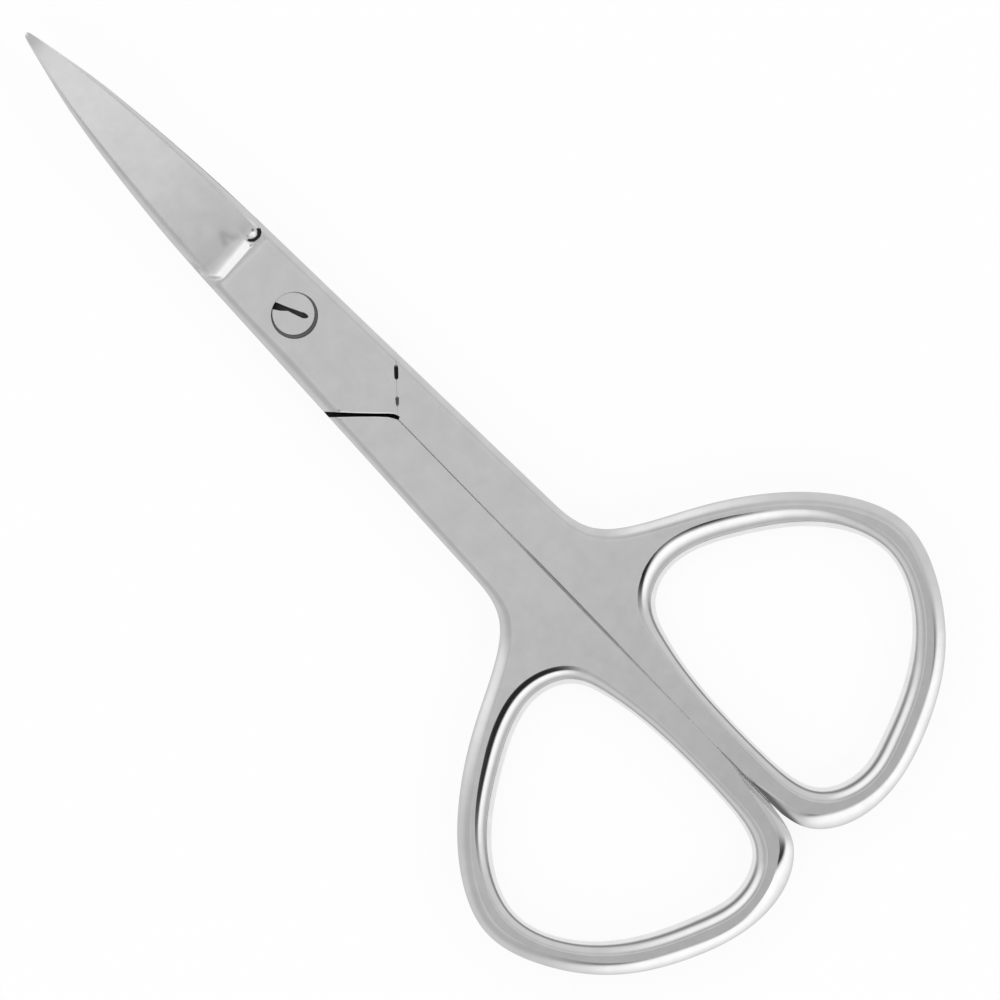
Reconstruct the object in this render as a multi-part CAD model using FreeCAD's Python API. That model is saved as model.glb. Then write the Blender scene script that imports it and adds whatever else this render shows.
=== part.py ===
import FreeCAD, Part
import math
import os

os.makedirs("parts", exist_ok=True)

# Cuticle scissors: two forged halves that lap over each other, joined by a slotted pivot screw.
# Millimetres. The pivot axis is Z, the blade tips point along +Y, and the flat underside is at z = 0.
# The scissors are closed. The upper half has the left blade spine, the screw head and the right ring.
# The lower half is the same forging turned over about the Y axis, with its own blade and a tapped hole.

# Reach from the pivot axis
blade_reach = 30.3
handle_reach = 59.5
ring_reach = 23.0

# Stock of both halves at the joint, the shanks and the rings
body_thick = 3.2
lap_gap = 0.03
edge_round = 0.75
edge_break = 0.12

# Sides of the joint and the shanks: straight lines that spread towards the rings
root_half_width = 3.2
shank_half_width = 4.28
shank_end = 25.0

# Closing line between the shanks, and the V shoulder where each lap plate ends
closing_gap = 0.07
shoulder_gap = 0.2
vee_apex_depth = 11.1
vee_side_depth = 7.35

# Shallow scored line that completes the V on the face of the half with the screw head
score_apex_depth = 11.75
score_side_depth = 7.7
score_width = 0.22
score_depth = 0.1

# Outside of a ring. Each pair holds a share of ring_reach and a share of the run from shank end to ring end.
ring_shares = (
    (0.217, 0.091),
    (0.343, 0.165),
    (0.533, 0.232),
    (0.757, 0.333),
    (0.917, 0.448),
    (1.000, 0.591),
    (0.943, 0.725),
    (0.770, 0.870),
    (0.552, 0.957),
    (0.313, 1.000),
    (0.113, 0.974),
    (0.033, 0.925),
    (0.000, 0.838),
)
# The outline runs on past the closing line, so that its round edge fades out where the faces are cut.
# Each pair holds a share of that overlap and a share of the same run.
run_out_shares = ((0.55, 0.745), (1.00, 0.640))

# Finger hole, set in from the closing line and from the outside of the ring
hole_start_share = 0.287    # of the run from shank end to ring end
ring_inner_band = 2.4
ring_outer_band = 2.7
ring_end_band = 2.85
# Each pair holds shares of the hole's width, from the closing line out, and of its length.
hole_shares = (
    (0.270, 0.000),
    (0.430, 0.024),
    (0.606, 0.099),
    (0.875, 0.275),
    (1.000, 0.505),
    (0.913, 0.701),
    (0.646, 0.888),
    (0.430, 0.966),
    (0.262, 1.000),
    (0.075, 0.945),
    (0.006, 0.760),
    (0.000, 0.605),
    (0.012, 0.354),
    (0.050, 0.176),
    (0.121, 0.052),
)

# Ricasso: the concave grind where the joint steps down to the blade
ricasso_start = 5.75
ricasso_drop = 0.45
ricasso_radius = 2.2

# Blades
tip_thick = 0.45
blade_rise = 4.0            # height that the curve lifts the tips
tip_side = 0.3              # how far the tips lie to the right of the pivot line
spine_bevel_width = 0.72
spine_bevel_drop = 0.45
edge_bevel_width = 0.32
edge_land = 0.08            # thickness left at the cutting edge
edge_thick_share = 0.88     # thickness beside the edge bevel, as a share of the thickness at the spine
edge_set_back = 0.24        # how far the cutting edge lies inside the mating spine, at the root
edge_clearance = 0.02       # from the middle surface to each cutting edge
face_relief = 0.04          # rise of the inner face for each millimetre away from the cutting edge
hollow_depth = 0.05
# Each pair holds a share of the blade's run and a share of its half width at the root.
blade_shares = (
    (0.000, 1.000),
    (0.140, 0.950),
    (0.320, 0.853),
    (0.520, 0.705),
    (0.700, 0.530),
    (0.860, 0.300),
    (0.955, 0.150),
    (1.000, 0.060),
)

# Pivot screw: a slotted head, a plain journal in the upper half and a threaded end in the lower half
head_diameter = 3.34
head_thick = 0.85
head_clearance = 0.12
head_sink = 0.04
head_seat_gap = 0.02
head_edge_break = 0.1
slot_width = 0.55
slot_depth = 0.42
slot_angle = 119.0
journal_diameter = 2.4
journal_clearance = 0.03
thread_diameter = 2.0
thread_clearance = 0.03
thread_lead_in = 0.15

# Length that a cutting body runs past what it cuts
overrun = 4.0

# Places worked out from the sizes above
split_height = body_thick / 2
lap_face = split_height + lap_gap / 2
root_thick = split_height - ricasso_drop
ricasso_run = math.sqrt(2 * ricasso_radius * ricasso_drop - ricasso_drop ** 2)
blade_start = ricasso_start + ricasso_run
blade_run = blade_reach - blade_start
ring_run = handle_reach - shank_end
hole_start = shank_end + hole_start_share * ring_run
hole_width = ring_reach - ring_outer_band - ring_inner_band
hole_length = handle_reach - ring_end_band - hole_start
run_out = edge_round + edge_break
far = handle_reach + ring_reach
closing_face = closing_gap / 2
half_shoulder_gap = shoulder_gap / 2
half_turn = 180.0


def point(x, y, z=0.0):
    return FreeCAD.Vector(x, y, z)


def side_at(y):
    # half width of the straight sides at a place along the scissors
    share = (ricasso_start - y) / (ricasso_start + shank_end)
    return root_half_width + share * (shank_half_width - root_half_width)


def chord_steps(points):
    # running length of the chords from the first point to each point
    steps = [0.0]
    for first, second in zip(points, points[1:]):
        steps.append(steps[-1] + first.distanceToPoint(second))
    return steps


def polygon(corners):
    return Part.Face(Part.makePolygon(corners + corners[:1]))


def prism(corners, low, high):
    # upright block on a polygon of corners, from one height to another
    base = [point(corner.x, corner.y, low) for corner in corners]
    return polygon(base).extrude(point(0, 0, high - low))


def turned_over(shape):
    # the same shape turned half round about the Y line at the split
    return shape.rotated(point(0, 0, split_height), point(0, 1, 0), half_turn)


# Outline of one half, with its ring on the right


def ring_curve():
    # smooth curve from the side of the shank round the ring and past the closing line
    points = [point(shank_half_width, -shank_end)]
    for across, along in ring_shares:
        points.append(point(across * ring_reach, -shank_end - along * ring_run))
    for across, along in run_out_shares:
        points.append(point(-across * run_out, -shank_end - along * ring_run))
    spread = (shank_half_width - root_half_width) / (ricasso_start + shank_end)
    curve = Part.BSplineCurve()
    curve.interpolate(Points=points, Parameters=chord_steps(points), Scale=False,
                      InitialTangent=point(spread, -1).normalize(), FinalTangent=point(0, 1))
    return curve


def finger_hole():
    # closed smooth curve inside the ring's bands
    points = [point(ring_inner_band + across * hole_width, -hole_start - along * hole_length)
              for across, along in hole_shares]
    curve = Part.BSplineCurve()
    curve.interpolate(Points=points, PeriodicFlag=True, Parameters=chord_steps(points + points[:1]))
    return Part.Wire(curve.toShape())


def outline():
    # right side, ring, and a stand-in left side that goes when the mating half's room is cut away
    front = ricasso_start + overrun
    step = shank_end - overrun
    curve = ring_curve()
    corners = [
        curve.EndPoint,
        point(-run_out, -shank_end),
        point(-side_at(-step), -step),
        point(-side_at(front), front),
        point(side_at(front), front),
        curve.StartPoint,
    ]
    edges = [Part.LineSegment(first, second).toShape() for first, second in zip(corners, corners[1:])]
    return Part.Wire([curve.toShape()] + edges)


def is_rounded(edge):
    # true for the long sides, the ring and the hole on both faces, not for the front and the stand-in step
    if edge.BoundBox.ZLength > edge_break:
        return False
    middle = edge.valueAt((edge.FirstParameter + edge.LastParameter) / 2)
    on_front = middle.y > ricasso_start
    on_step = middle.x < 0 and -shank_end < middle.y < overrun - shank_end
    return not on_front and not on_step


def rounded_plate():
    face = Part.makeFace([outline(), finger_hole()], "Part::FaceMakerBullseye")
    plate = face.extrude(point(0, 0, body_thick))
    return plate.makeFillet(edge_round, [edge for edge in plate.Edges if is_rounded(edge)])


# The V shoulder and the room that the mating half needs


def leg_line(side, shift):
    # one leg of the V, the left for side -1, moved square to itself by shift towards the pivot
    apex = point(0, -vee_apex_depth)
    end = point(side * side_at(-vee_side_depth), -vee_side_depth)
    way = (end - apex).normalize()
    inward = point(-side * way.y, side * way.x)
    return apex + inward * shift, end + way * overrun + inward * shift


def shank_room():
    # all that lies beyond the closing face and below the left leg
    apex, reach = leg_line(-1, half_shoulder_gap)
    way = (reach - apex).normalize()
    corner = apex + way * ((closing_face - apex.x) / way.x)
    corners = [point(closing_face, -far), corner, reach, point(-far, reach.y), point(-far, -far)]
    return prism(corners, -overrun, body_thick + overrun)


def lap_room():
    # under the split, all that lies above the right leg
    apex, reach = leg_line(1, -half_shoulder_gap)
    low = apex - (reach - apex)
    corners = [low, reach, point(far, reach.y), point(far, far), point(-far, far), point(-far, low.y)]
    return prism(corners, -overrun, lap_face)


def groove(start, end, half_width, depth, height):
    # triangular bar along a line in a face: its point lies depth under the face, its back as far above
    way = (end - start).normalize()
    across = point(-way.y, way.x) * (2 * half_width)
    face_start = start + point(0, 0, height)
    back = face_start + point(0, 0, depth)
    corners = [back + across, back - across, face_start - point(0, 0, depth)]
    return polygon(corners).extrude(end - start)


def edge_breaks():
    # small chamfers along the closing face and the shoulders, and the scored line
    closing_low = point(closing_face, -far)
    left_apex, left_reach = leg_line(-1, half_shoulder_gap)
    right_apex, right_reach = leg_line(1, -half_shoulder_gap)
    closing_top = point(closing_face, left_apex.y)
    closing_under = point(closing_face, right_apex.y)
    score_apex = point(0, -score_apex_depth)
    score_end = point(side_at(-score_side_depth), -score_side_depth)
    return [
        groove(closing_low, closing_top, edge_break, edge_break, body_thick),
        groove(left_apex, left_reach, edge_break, edge_break, body_thick),
        groove(closing_low, closing_under, edge_break, -edge_break, 0),
        groove(right_apex, right_reach, edge_break, -edge_break, 0),
        groove(score_apex, score_end, score_width / 2, score_depth, body_thick),
    ]


def ricasso_grind():
    # everything past the blade's root, with the concave grind that leads down to it
    shallow = body_thick - ricasso_drop
    above = body_thick + overrun
    centre = point(0, blade_start, shallow + ricasso_radius)
    top = point(0, ricasso_start, body_thick)
    bottom = point(0, blade_start, shallow)
    half_way = (math.atan2(top.z - centre.z, top.y - centre.y) - math.pi / 2) / 2
    middle = centre + point(0, math.cos(half_way), math.sin(half_way)) * ricasso_radius
    corners = [bottom, point(0, blade_start, -overrun), point(0, far, -overrun), point(0, far, above),
               point(0, ricasso_start, above), top]
    edges = [Part.LineSegment(first, second).toShape() for first, second in zip(corners, corners[1:])]
    edges.append(Part.Arc(top, middle, bottom).toShape())
    profile = Part.Face(Part.Wire(edges))
    profile.translate(point(-far, 0, 0))
    return profile.extrude(point(2 * far, 0, 0))


def half_blank():
    return rounded_plate().cut([shank_room(), lap_room(), ricasso_grind()] + edge_breaks())


# Blades


def blade_section(side, run_share, width_share):
    # seven corners in an upright plane across the blade, side 1 for the upper blade and -1 for the lower
    half = side_at(blade_start) * width_share
    narrowing = math.sqrt(width_share)
    thick = root_thick + (tip_thick - root_thick) * run_share
    thick_share = thick / root_thick
    edge = half - edge_set_back * (1 - run_share) * width_share
    width = edge + half
    spine_bevel = spine_bevel_width * narrowing
    edge_bevel = edge_bevel_width * narrowing
    corners = [
        (edge, edge_clearance),
        (edge, edge_clearance + edge_land),
        (edge - edge_bevel, thick * edge_thick_share),
        (spine_bevel - half, thick),
        (-half, thick - spine_bevel_drop * thick_share * narrowing),
        (-half, edge_clearance + face_relief * width),
        (edge - width / 2, edge_clearance + face_relief * width / 2 + hollow_depth * narrowing),
    ]
    centre = tip_side * run_share ** 2
    middle = split_height + blade_rise * run_share ** 2
    y = blade_start + blade_run * run_share
    ring = [point(centre + side * across, y, middle + side * up) for across, up in corners]
    return Part.makePolygon(ring + ring[:1])


def blade(side):
    sections = [blade_section(side, along, width) for along, width in blade_shares]
    return Part.makeLoft(sections, True, False)


# Holes, screw and finished pieces


def upright_cylinder(diameter, low, high):
    return Part.makeCylinder(diameter / 2, high - low, point(0, 0, low))


def head_floor():
    return body_thick - head_sink - head_thick - head_seat_gap


def upper_half():
    body = half_blank().fuse(blade(1))
    bore = upright_cylinder(journal_diameter + 2 * journal_clearance, -overrun, body_thick + overrun)
    counterbore = upright_cylinder(head_diameter + 2 * head_clearance, head_floor(), body_thick + overrun)
    return body.cut([bore, counterbore]).removeSplitter()


def lower_half():
    body = turned_over(half_blank()).fuse(blade(-1))
    tapped = upright_cylinder(thread_diameter + 2 * thread_clearance, -overrun, body_thick)
    return body.cut(tapped).removeSplitter()


def pivot_screw():
    head_top = body_thick - head_sink
    head_low = head_top - head_thick
    journal_low = split_height - lap_gap / 2
    head = upright_cylinder(head_diameter, head_low, head_top)
    rims = [edge for edge in head.Edges if edge.BoundBox.ZMin > head_low + head_thick / 2]
    head = head.makeChamfer(head_edge_break, rims)
    journal = upright_cylinder(journal_diameter, journal_low, head_low)
    thread = upright_cylinder(thread_diameter, 0, journal_low)
    ends = [edge for edge in thread.Edges if edge.BoundBox.ZMax < thread_lead_in]
    thread = thread.makeChamfer(thread_lead_in, ends)
    slot = Part.makeBox(2 * head_diameter, slot_width, 2 * slot_depth,
                        point(-head_diameter, -slot_width / 2, head_top - slot_depth))
    slot.rotate(point(0, 0), point(0, 0, 1), slot_angle)
    return head.fuse([journal, thread]).removeSplitter().cut(slot)


pieces = {
    "upper_half": upper_half(),
    "lower_half": lower_half(),
    "pivot_screw": pivot_screw(),
}
for name, piece in pieces.items():
    solid = piece.Solids[0] if len(piece.Solids) == 1 else piece
    print(name, "solids", len(piece.Solids), "sound", solid.isValid(), "volume", round(solid.Volume, 2))
    solid.exportStep("parts/" + name + ".step")
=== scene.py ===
import math

import bpy
import numpy as np
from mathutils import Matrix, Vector
from mathutils.geometry import tessellate_polygon


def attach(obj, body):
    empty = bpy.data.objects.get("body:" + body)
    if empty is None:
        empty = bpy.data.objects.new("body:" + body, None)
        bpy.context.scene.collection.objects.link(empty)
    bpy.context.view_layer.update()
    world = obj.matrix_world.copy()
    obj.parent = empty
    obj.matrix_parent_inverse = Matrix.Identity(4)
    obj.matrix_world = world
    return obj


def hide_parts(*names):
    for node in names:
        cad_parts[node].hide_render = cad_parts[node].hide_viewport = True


# Cuticle scissors seen from straight above. Shapes are worked out in millimetres and placed in metres.
# The pivot axis is Z, the tips point along +Y and the flat underside lies at height 0.

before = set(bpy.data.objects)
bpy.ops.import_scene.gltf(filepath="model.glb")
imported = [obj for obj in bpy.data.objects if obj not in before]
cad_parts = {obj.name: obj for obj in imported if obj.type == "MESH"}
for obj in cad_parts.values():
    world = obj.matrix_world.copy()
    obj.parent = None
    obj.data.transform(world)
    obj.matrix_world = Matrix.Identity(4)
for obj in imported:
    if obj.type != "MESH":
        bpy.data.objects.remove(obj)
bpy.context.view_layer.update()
print("frame loaded")

metre = 0.001       # metres in a millimetre


# Camera

shot = {
    "pixelsPerMm": 12.76,
    "pivotPixel": (293.4, 313.7),
    "bladeTurn": 45.8,          # angle of the blades to the left edge of the picture's foot, in degrees
    "pixels": 1000,
    "lens": 800.0,
    "sensor": 36.0,
    "faceHeight": 3.2,
    "clipStart": 0.1,           # in metres
    "clipEnd": 10.0,
}


def makeCamera():
    # the picture's middle, turned back into the frame of the scissors, with the picture's up along the blades
    turn = math.radians(shot["bladeTurn"])
    across = (shot["pixels"] / 2 - shot["pivotPixel"][0]) / shot["pixelsPerMm"]
    down = (shot["pixels"] / 2 - shot["pivotPixel"][1]) / shot["pixelsPerMm"]
    x = math.sin(turn) * across - math.cos(turn) * down
    y = -math.cos(turn) * across - math.sin(turn) * down
    width = shot["pixels"] / shot["pixelsPerMm"]
    height = shot["faceHeight"] + width * shot["lens"] / shot["sensor"]
    camera = bpy.data.objects.new("camera", bpy.data.cameras.new("camera"))
    camera.data.lens = shot["lens"]
    camera.data.sensor_width = shot["sensor"]
    camera.data.clip_start = shot["clipStart"]
    camera.data.clip_end = shot["clipEnd"]
    camera.location = (x * metre, y * metre, height * metre)
    camera.rotation_euler = (0, 0, turn - math.pi / 2)
    bpy.context.scene.collection.objects.link(camera)
    bpy.context.scene.camera = camera


makeCamera()
print("camera set")


# Sizes of a half, the same as in the solids

half = {
    "thick": 3.2,
    "lapGap": 0.03,
    "rootHalfWidth": 3.2,
    "shankHalfWidth": 4.28,
    "shankEnd": 25.0,
    "ringReach": 23.0,
    "handleReach": 59.5,
    "runOut": 0.87,
    "closingFace": 0.02,
    "closingLean": 0.0625,      # how far the closing face moves to the right for each millimetre of height
    "ricassoStart": 5.75,
    "frontEnd": 5.55,           # where the plate ends and the ground front piece takes over
    "overrun": 1.5,             # how far the plate's sides run on before they are cut off there
    "leftLater": 4.0,           # how much nearer the pivot than the shank's end the left side starts
}

# Knots round the outside of a ring: share of the ring's reach, share of the run from shank to ring end,
# width of the rounded rim, and the tilts in degrees at which the rims of the right and the left ring
# break away from the flat face.
ringKnots = np.array([
    (0.217, 0.091, 0.90, 0, 5),
    (0.343, 0.165, 0.95, 0, 7),
    (0.533, 0.232, 1.00, 0, 7),
    (0.757, 0.333, 1.05, 0, 7),
    (0.917, 0.448, 1.05, 0, 4),
    (1.000, 0.591, 1.05, 0, 0),
    (0.943, 0.725, 1.00, 6, 6),
    (0.770, 0.870, 0.90, 13, 13),
    (0.552, 0.957, 0.90, 15, 15),
    (0.313, 1.000, 0.90, 15, 15),
    (0.113, 0.974, 1.20, 15, 15),
    (0.033, 0.925, 1.10, 12, 3),
    (0.000, 0.838, 0.80, 0, 0),
])
runOutKnots = np.array([(-0.55, 0.745, 0.70, 0, 0), (-1.00, 0.640, 0.60, 0, 0)])

# Knots round the finger hole: shares of its width and length, then as above
hole = {"start": 34.9015, "innerBand": 2.4, "width": 17.9, "length": 21.7485}
holeKnots = np.array([
    (0.270, 0.000, 1.70, 18, 0),
    (0.430, 0.024, 1.75, 19, 0),
    (0.606, 0.099, 1.65, 19, 0),
    (0.875, 0.275, 1.25, 16, 6),
    (1.000, 0.505, 1.00, 0, 0),
    (0.913, 0.701, 1.05, 0, 0),
    (0.646, 0.888, 1.30, 0, 0),
    (0.430, 0.966, 1.38, 0, 0),
    (0.262, 1.000, 1.38, 0, 0),
    (0.075, 0.945, 1.20, 0, 0),
    (0.006, 0.760, 0.90, 0, 0),
    (0.000, 0.605, 0.80, 0, 0),
    (0.012, 0.354, 0.85, 0, 0),
    (0.050, 0.176, 1.05, 0, 0),
    (0.121, 0.052, 1.45, 0, 0),
])

# Rounded rims: the tilts they reach at the edge, their greatest depth, and the widths of their bands
rim = {
    "outerTilt": 31.0,
    "holeTilt": 90.0,
    "deepest": 1.5,
    "shankBand": 0.7,
    "leftBand": 0.8,
    "leftSwell": 0.2,
    "swellRun": (4.0, -3.0),    # places along Y between which the left band widens
    "cornerBand": 0.6,
    "leastBand": 0.02,
    "fade": 1.0,                # length over which the bands run out at the plate's end
}
detail = {"ringPoints": 460, "holePoints": 320, "sidePoints": 60, "rimRows": 19}


def sideAt(y):
    # half width of the straight sides: it grows evenly from the ricasso to the end of the shanks
    share = (half["ricassoStart"] - y) / (half["ricassoStart"] + half["shankEnd"])
    return half["rootHalfWidth"] + share * (half["shankHalfWidth"] - half["rootHalfWidth"])


def levelStep(low, high, value):
    # rises from 0 to 1 between low and high, level at both ends
    share = np.clip((value - low) / (high - low), 0, 1)
    return share * share * (3 - 2 * share)


def smoothCurve(knots, count, ends=None):
    # cubic pieces through the knots, measured along their chords, that agree in slope and bend at each knot;
    # with ends, the slopes of both ends, it is open, and without them it closes on itself
    loop = np.vstack([knots, knots[:1]]) if ends is None else knots
    gaps = np.linalg.norm(np.diff(loop[:, :2], axis=0), axis=1)
    steps = np.concatenate([[0], np.cumsum(gaps)])
    rates = np.diff(loop, axis=0) / gaps[:, None]
    total = len(knots)
    before, after = np.roll(1 / gaps, 1), 1 / gaps
    if ends is None:
        matrix = np.diag(2 * (before + after))
        matrix += np.roll(np.diag(before), -1, axis=1) + np.roll(np.diag(after), 1, axis=1)
        target = 3 * (np.roll(rates, 1, axis=0) * before[:, None] + rates * after[:, None])
        slopes = np.linalg.solve(matrix, target)
        slopes = np.vstack([slopes, slopes[:1]])
    else:
        matrix = np.eye(total)
        inner = np.arange(1, total - 1)
        matrix[inner, inner - 1] = after[:-1]
        matrix[inner, inner] = 2 * (after[:-1] + after[1:])
        matrix[inner, inner + 1] = after[1:]
        target = np.zeros_like(knots)
        target[1:-1] = 3 * (rates[:-1] * after[:-1, None] + rates[1:] * after[1:, None])
        target[0], target[-1] = ends
        slopes = np.linalg.solve(matrix, target)
    place = np.linspace(0, steps[-1], count, endpoint=ends is not None)
    piece = np.clip(np.searchsorted(steps, place, side="right") - 1, 0, len(gaps) - 1)
    gap = gaps[piece][:, None]
    share = (place - steps[piece])[:, None] / gap
    first, last = loop[piece], loop[piece + 1]
    level = first * (1 + 2 * share) * (1 - share) ** 2 + last * share ** 2 * (3 - 2 * share)
    return level + gap * share * (1 - share) * (slopes[piece] * (1 - share) - slopes[piece + 1] * share)


def outlineLoop():
    # clockwise from above: round the ring, past the closing line, up a left side, down the right side
    run = half["handleReach"] - half["shankEnd"]
    shift = (0, half["shankEnd"], 0, 0, 0)
    ring = ringKnots * (half["ringReach"], -run, 1, 1, 1) - shift
    past = runOutKnots * (half["runOut"], -run, 1, 1, 1) - shift
    start = np.array([(half["shankHalfWidth"], -half["shankEnd"], rim["shankBand"], 0, 0)])
    spread = (half["shankHalfWidth"] - half["rootHalfWidth"]) / (half["ricassoStart"] + half["shankEnd"])
    ends = np.array([(spread, -1, 0, 0, 0), (0, 1, 0, 0, 0)])
    curve = smoothCurve(np.vstack([start, ring, past]), detail["ringPoints"], ends)
    front = half["frontEnd"] + half["overrun"]
    up = np.linspace(half["leftLater"] - half["shankEnd"], front, detail["sidePoints"])
    down = np.linspace(front, -half["shankEnd"], detail["sidePoints"])[:-1]
    corner = np.array([(-half["runOut"], -half["shankEnd"], rim["cornerBand"], 0, 0)])
    leftBand = rim["leftBand"] + rim["leftSwell"] * levelStep(*rim["swellRun"], up)
    leftBand = leftBand * levelStep(front, front - rim["fade"], up) + rim["leastBand"]
    rightBand = rim["shankBand"] * levelStep(front, front - rim["fade"], down) + rim["leastBand"]
    left = np.stack([-sideAt(up), up, leftBand, 0 * up, 0 * up], axis=1)
    right = np.stack([sideAt(down), down, rightBand, 0 * down, 0 * down], axis=1)
    return np.vstack([curve, corner, left, right])


def holeLoop():
    # clockwise from above, inside the bands of the ring
    corner = (hole["innerBand"], -hole["start"], 0, 0, 0)
    return smoothCurve(holeKnots * (hole["width"], -hole["length"], 1, 1, 1) + corner, detail["holePoints"])


def roundRim(width, start, end):
    # arc of even bend from the tilt start at the flat face to the tilt end at the edge: its inset from the
    # edge is radius * (sin end - sin tilt) and its depth under the face is radius * (cos start - cos tilt)
    share = np.linspace(0, 1, detail["rimRows"])[:, None]
    tilt = start + (end - start) * share
    radius = width / (np.sin(end) - np.sin(start))
    depth = radius * (np.cos(start) - np.cos(tilt))
    depth = depth * np.minimum(1, rim["deepest"] / depth[-1])
    return radius * (np.sin(end) - np.sin(tilt)), depth


def rimRows(loop, side, endTilt, crease):
    # round rims carried round a loop at the foot and at the top, with an upright wall between them;
    # inward is to the right of the way for side 1
    tangent = np.roll(loop[:, :2], -1, axis=0) - np.roll(loop[:, :2], 1, axis=0)
    tangent /= np.linalg.norm(tangent, axis=1)[:, None]
    inward = side * np.stack([tangent[:, 1], -tangent[:, 0]], axis=1)
    start = np.radians(np.maximum(loop[:, 3 + crease], 0))
    inset, depth = roundRim(loop[:, 2], start, math.radians(endTilt))
    place = loop[None, :, :2] + inward[None] * inset[:, :, None]
    foot = np.concatenate([place, depth[:, :, None]], axis=2)
    top = np.concatenate([place[::-1], half["thick"] - depth[::-1, :, None]], axis=2)
    return np.concatenate([foot, top])


def gridFaces(rows, columns, start=0, flip=False):
    # quads of a grid whose rows close on themselves
    row, column = np.meshgrid(np.arange(rows - 1), np.arange(columns), indexing="ij")
    here = row * columns + column
    beside = row * columns + (column + 1) % columns
    quads = np.stack([here, beside, beside + columns, here + columns], axis=-1).reshape(-1, 4) + start
    return quads[:, ::-1] if flip else quads


def closedGrid(rows, columns):
    # such a grid with its first and last row filled
    ends = [list(range(columns))[::-1], list(range((rows - 1) * columns, rows * columns))]
    return gridFaces(rows, columns).tolist() + ends


def shown(name, data):
    thing = bpy.data.objects.new(name, data)
    bpy.context.scene.collection.objects.link(thing)
    return thing


def meshFrom(name, points, faces):
    mesh = bpy.data.meshes.new(name)
    mesh.from_pydata(points.tolist(), [], faces)
    mesh.update()
    return shown(name, mesh)


def plateCaps(outer, inner, start, height):
    # flat face between the outline and the finger hole, as triangles that face away from the plate
    loops = [[Vector((x, y, 0)) for x, y in loop[:, :2]] for loop in (outer, inner)]
    triangles = np.array(tessellate_polygon(loops))
    flat = np.vstack([outer[:, :2], inner[:, :2]])
    a, b, c = flat[triangles[:, 0]], flat[triangles[:, 1]], flat[triangles[:, 2]]
    turn = (b[:, 0] - a[:, 0]) * (c[:, 1] - a[:, 1]) - (b[:, 1] - a[:, 1]) * (c[:, 0] - a[:, 0])
    wrong = turn < 0 if height > 0 else turn > 0
    triangles[wrong] = triangles[wrong][:, ::-1]
    return start[triangles]


def roundedPlate(crease):
    # both loops' rims, joined by flat faces at the foot and at the top
    outer = rimRows(outlineLoop(), 1, rim["outerTilt"], crease)
    inner = rimRows(holeLoop(), -1, rim["holeTilt"], crease)
    rows, around = outer.shape[:2]
    within = inner.shape[1]
    points = np.vstack([outer.reshape(-1, 3), inner.reshape(-1, 3)])
    shift = rows * around
    foot = np.concatenate([np.arange(around), shift + np.arange(within)])
    top = foot + np.concatenate([np.full(around, (rows - 1) * around), np.full(within, (rows - 1) * within)])
    faces = gridFaces(rows, around, 0, True).tolist() + gridFaces(rows, within, shift).tolist()
    faces += plateCaps(outer[0], inner[0], foot, 0).tolist()
    faces += plateCaps(outer[-1], inner[-1], top, 1).tolist()
    return meshFrom("plate", points, faces)


# Cutting bodies

vee = {
    "apexDepth": 11.1,
    "sideDepth": 7.35,
    "gap": 0.2,
    "hair": 0.01,
    "reach": 4.0,
    "legDepth": 1.0,            # depth of the widened part of each leg
    "floorSink": 0.045,         # how far beyond the split the mating half's lap is cut under a leg
    "floorKnots": 6,            # how many of a leg's knots that cut follows
    "wornEdge": 0.07,
    "wornSlope": 0.45,
    "scoreApex": 11.75,
    "scoreSide": 7.7,
    "scoreSlope": 0.8,
    "scoreOut": 0.05,           # how far the score line runs out past the side
}
closing = {"run": (-62.0, -11.3), "slope": 0.4}
cut = {
    "low": -4.0,                # heights between which the cutting bodies stand
    "high": 8.0,
    "far": 90.0,
    "legPoints": 60,
    "floorPoints": 50,
    "closingPoints": 60,
    "scorePoints": 90,
}

# Knots along the left leg of the V: place and the half width of the open groove there
legKnots = np.array([
    (-6.60, -4.62, 0.25),
    (-3.67, -7.45, 0.22),
    (-3.10, -8.02, 0.20),
    (-2.00, -9.11, 0.15),
    (-0.90, -10.20, 0.13),
    (-0.20, -10.91, 0.15),
    (0.06, -11.26, 0.18),
    (0.23, -11.66, 0.14),
])

# Knots along the score line: share of the way from the apex to the side, half width, and painted shade in its
# pits
scoreKnots = np.array([
    (0.00, 0.01, 0.0),
    (0.20, 0.02, 0.0),
    (0.24, 0.13, 0.8),
    (0.33, 0.15, 0.85),
    (0.36, 0.02, 0.0),
    (0.58, 0.02, 0.0),
    (0.61, 0.16, 1.0),
    (0.70, 0.17, 1.0),
    (0.78, 0.16, 1.0),
    (0.81, 0.04, 0.1),
    (1.00, 0.02, 0.0),
])

# Knots along the closing line: place along Y, half widths of its groove in the right and the left half, painted
# shade
closingKnots = np.array([
    (-62.0, 0.04, 0.03, 0.1),
    (-53.0, 0.05, 0.03, 0.3),
    (-46.0, 0.05, 0.03, 0.15),
    (-40.0, 0.07, 0.04, 0.35),
    (-35.0, 0.13, 0.06, 0.6),
    (-30.0, 0.15, 0.07, 0.65),
    (-27.0, 0.14, 0.07, 0.6),
    (-24.0, 0.09, 0.04, 0.3),
    (-15.0, 0.06, 0.03, 0.2),
    (-11.9, 0.06, 0.03, 0.2),
    (-10.5, 0.06, 0.03, 0.2),
])


def block(name, corners, low, high, above=None):
    # prism on a ring of corners, listed anticlockwise, with a ring of its own for the top where one is given
    corners = np.array(corners, dtype=float)
    above = corners if above is None else np.array(above, dtype=float)
    count = len(corners)
    foot = np.column_stack([corners, np.full(count, low)])
    top = np.column_stack([above, np.full(count, high)])
    return meshFrom(name, np.vstack([foot, top]), closedGrid(2, count))


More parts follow.
